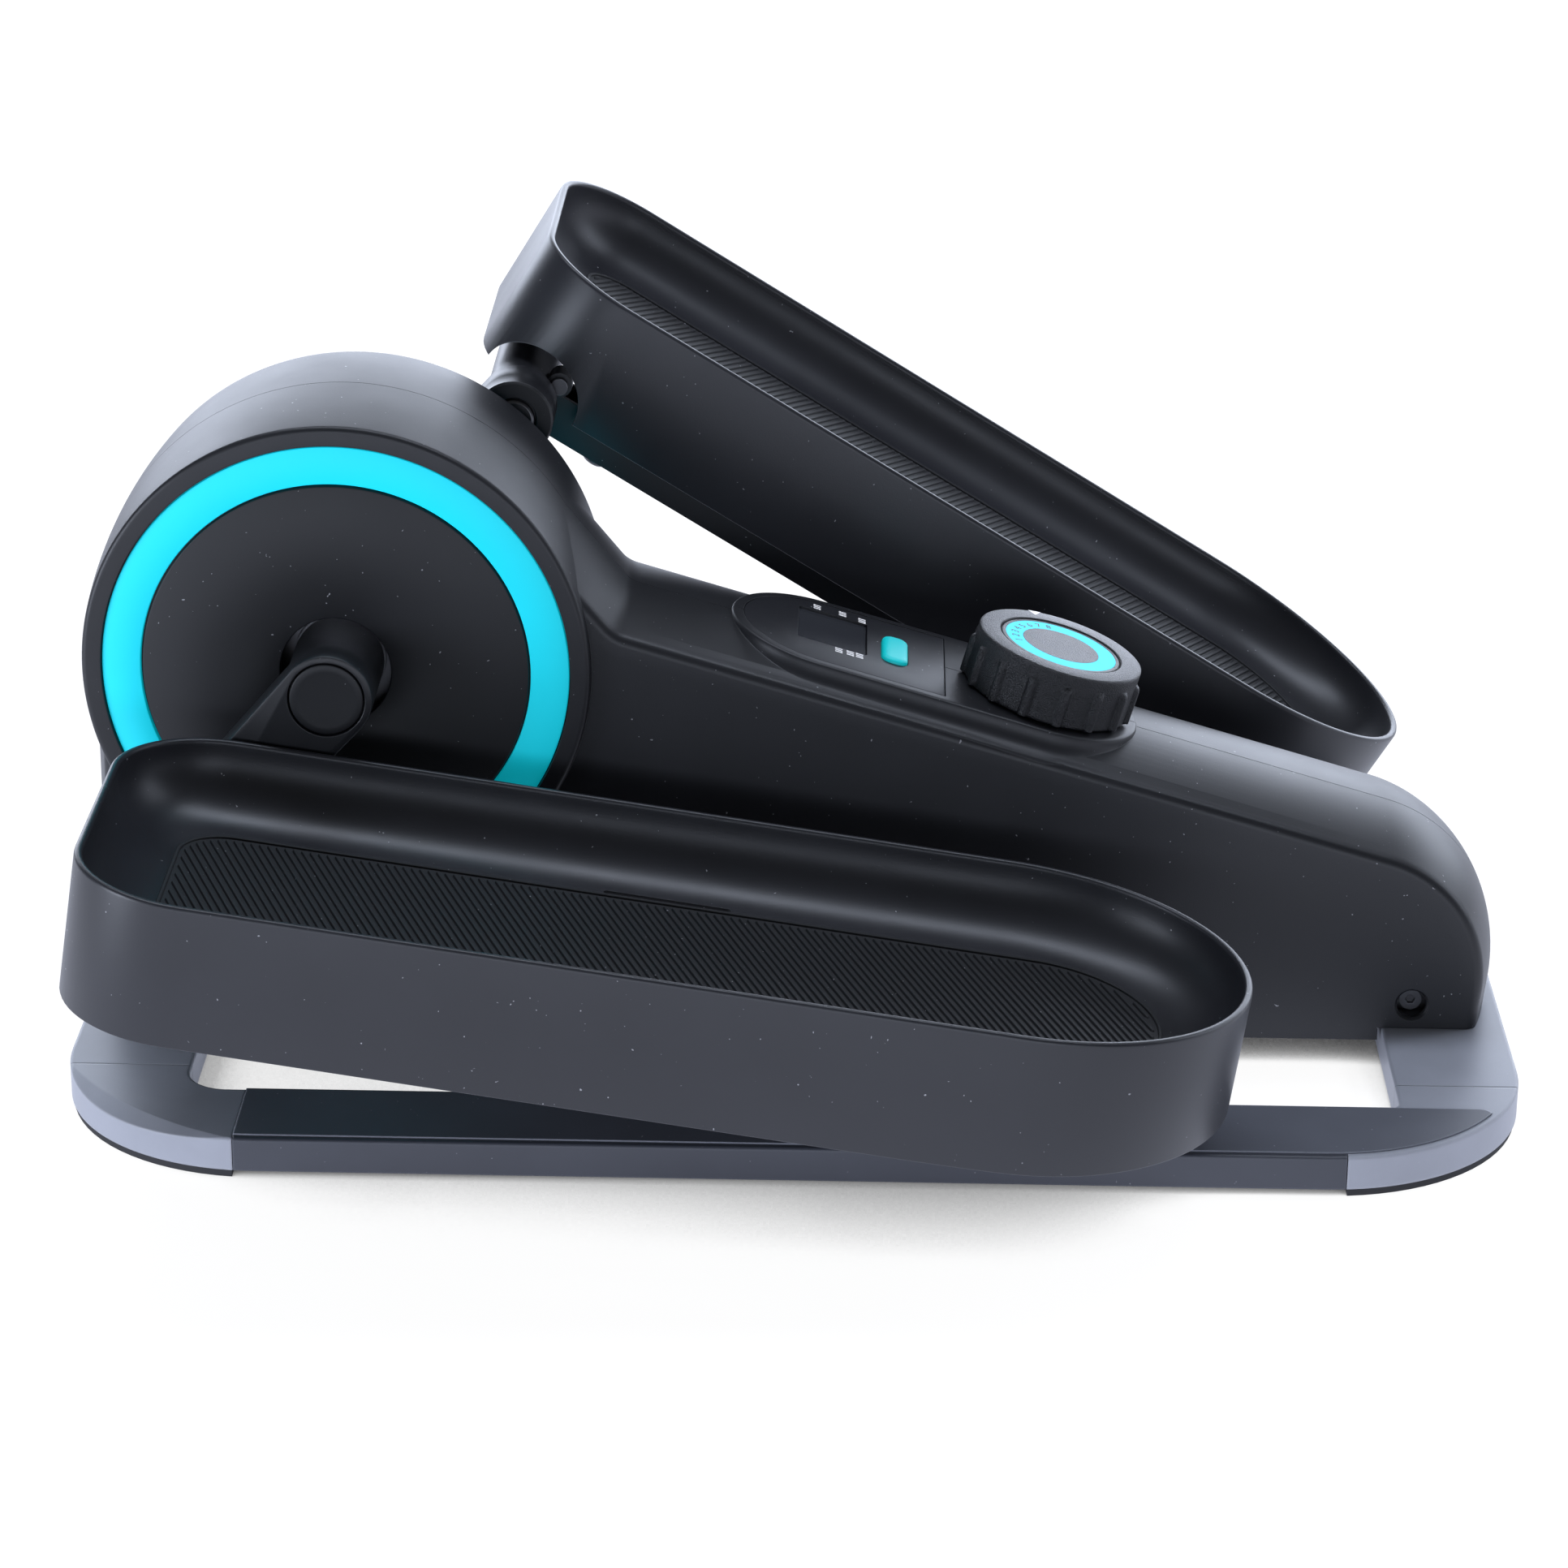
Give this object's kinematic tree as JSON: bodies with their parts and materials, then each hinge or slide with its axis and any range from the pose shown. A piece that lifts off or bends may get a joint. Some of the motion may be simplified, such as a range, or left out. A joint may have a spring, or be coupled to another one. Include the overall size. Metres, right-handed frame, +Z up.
{
  "type": "under-desk pedal exerciser",
  "caption": "Low under-desk pedal exerciser: floor loop with rails, drum housing with sloping back, crank arms, rolling foot trays, tension knob and small display.",
  "frame": {"origin": "on the floor, at the middle of the base loop", "axes": "+Z up, +X towards the heel end where the user sits, +Y towards the user's right-hand side"},
  "size_m": [0.552, 0.4886, 0.2839],
  "materials": {
    "shell_black": "satin, fine grain",
    "disc_black": "satin",
    "ring_cyan": "satin",
    "cover_grey": "satin, fine grain",
    "rail_black": "powder coat",
    "plate_grey": "satin, worn at the edge",
    "tray_black": "satin, fine grain",
    "mat_rubber": "diagonal ribs",
    "foot_rubber": "matte",
    "link_black": "satin",
    "crank_black": "satin",
    "knob_black": "coarse grain",
    "console_black": "satin, fine grain",
    "button_cyan": "satin",
    "window_clear": "clear",
    "lcd_green": "satin",
    "steel": "brushed",
    "screw_steel": "blackened",
    "iron": "machined rim",
    "belt_rubber": "matte",
    "magnet_chrome": "plated",
    "pulley_plastic": "satin",
    "holder_black": "matte",
    "cell_steel": "satin",
    "roller_grey": "satin"
  },
  "bodies": {
    "frame": {"front_cross_cover": "cover_grey", "rear_cross_cover": "cover_grey", "front_left_corner_cover": "cover_grey", "front_right_corner_cover": "cover_grey", "rear_left_corner_cover": "cover_grey", "rear_right_corner_cover": "cover_grey", "left_side_rail": "rail_black", "right_side_rail": "rail_black", "left_track_plate": "plate_grey", "right_track_plate": "plate_grey", "rubber_feet": "foot_rubber", "base_screws": "screw_steel", "centre_beam": "steel", "left_housing_shell": "shell_black", "right_housing_shell": "shell_black", "left_side_disc": "disc_black", "right_side_disc": "disc_black", "left_accent_ring": "ring_cyan", "right_accent_ring": "ring_cyan", "housing_screws": "screw_steel", "console_plate": "console_black", "display_window": "window_clear", "display_module": "lcd_green", "battery_holder": "holder_black", "battery_cell": "cell_steel", "left_drive_plate": "steel", "right_drive_plate": "steel", "spindle_bearings": "steel", "drive_belt": "belt_rubber", "flywheel_axle": "steel", "magnet_pivot_pin": "steel", "dial_disc": "knob_black", "dial_ring": "ring_cyan"},
    "crank": {"crank_spindle": "steel", "drive_pulley": "pulley_plastic", "left_crank_arm": "crank_black", "right_crank_arm": "crank_black", "crank_caps": "disc_black", "crank_bolts": "screw_steel", "crank_pin_nuts": "screw_steel"},
    "flywheel": {"flywheel": "iron"},
    "brake": {"magnet_carrier": "steel", "brake_magnets": "magnet_chrome"},
    "knob": {"tension_knob": "knob_black", "knob_sleeve": "steel"},
    "button": {"mode_button": "button_cyan"},
    "left_runner": {"left_roller_axle": "steel"},
    "left_pedal": {"left_foot_tray": "tray_black", "left_tread_mat": "mat_rubber", "left_link_arm": "link_black", "left_pedal_pin": "steel", "left_pedal_screws": "screw_steel"},
    "left_wheel": {"left_roller": "roller_grey"},
    "right_runner": {"right_roller_axle": "steel"},
    "right_pedal": {"right_foot_tray": "tray_black", "right_tread_mat": "mat_rubber", "right_link_arm": "link_black", "right_pedal_pin": "steel", "right_pedal_screws": "screw_steel"},
    "right_wheel": {"right_roller": "roller_grey"}
  },
  "joints": [
    {"name": "crank_spin", "type": "hinge", "parent": "frame", "child": "crank", "pos_m": [-0.1748, 0, 0.1588], "axis": [0, 1, 0], "continuous": true},
    {"name": "flywheel_spin", "type": "hinge", "parent": "frame", "child": "flywheel", "pos_m": [0.03, 0, 0.078], "axis": [0, 1, 0], "continuous": true},
    {"name": "left_pedal_slide", "type": "slide", "parent": "frame", "child": "left_runner", "axis": [1, 0, 0], "range_m": [-0.055, 0.125]},
    {"name": "right_pedal_slide", "type": "slide", "parent": "frame", "child": "right_runner", "axis": [1, 0, 0], "range_m": [-0.125, 0.055]},
    {"name": "left_pedal_pitch", "type": "hinge", "parent": "left_runner", "child": "left_pedal", "pos_m": [0.11895, -0.126, 0.0359], "axis": [0, 1, 0], "range_deg": [-3.6, 26.6]},
    {"name": "right_pedal_pitch", "type": "hinge", "parent": "right_runner", "child": "right_pedal", "pos_m": [0.18875, 0.126, 0.0359], "axis": [0, 1, 0], "range_deg": [-26.6, 3.6]},
    {"name": "left_roller_spin", "type": "hinge", "parent": "left_runner", "child": "left_wheel", "pos_m": [0.11895, -0.126, 0.0359], "axis": [0, 1, 0], "continuous": true},
    {"name": "right_roller_spin", "type": "hinge", "parent": "right_runner", "child": "right_wheel", "pos_m": [0.18875, 0.126, 0.0359], "axis": [0, 1, 0], "continuous": true},
    {"name": "tension_turn", "type": "hinge", "parent": "frame", "child": "knob", "pos_m": [0.09439, 0, 0.13305], "axis": [0.279, 0, 0.9603], "range_deg": [-135, 135]},
    {"name": "brake_swing", "type": "hinge", "parent": "frame", "child": "brake", "pos_m": [0.096, 0, 0.05], "axis": [0, 1, 0], "range_deg": [-1.5, 1.5]},
    {"name": "button_press", "type": "slide", "parent": "frame", "child": "button", "axis": [-0.279, 0, -0.9603], "range_m": [0, 0.0008], "stiffness_N_per_m": 600, "springref_m": -0.0005}
  ],
  "couplings": [
    {"joint": "flywheel_spin", "follows": "crank_spin", "ratio": 4.25},
    {"joint": "right_pedal_slide", "follows": "left_pedal_slide", "ratio": -1},
    {"joint": "right_pedal_pitch", "follows": "left_pedal_pitch", "ratio": -1},
    {"joint": "left_roller_spin", "follows": "left_pedal_slide", "rad_per_m": 52.632},
    {"joint": "right_roller_spin", "follows": "left_pedal_slide", "rad_per_m": -52.632},
    {"joint": "brake_swing", "follows": "tension_turn", "ratio": 0.011111}
  ]
}
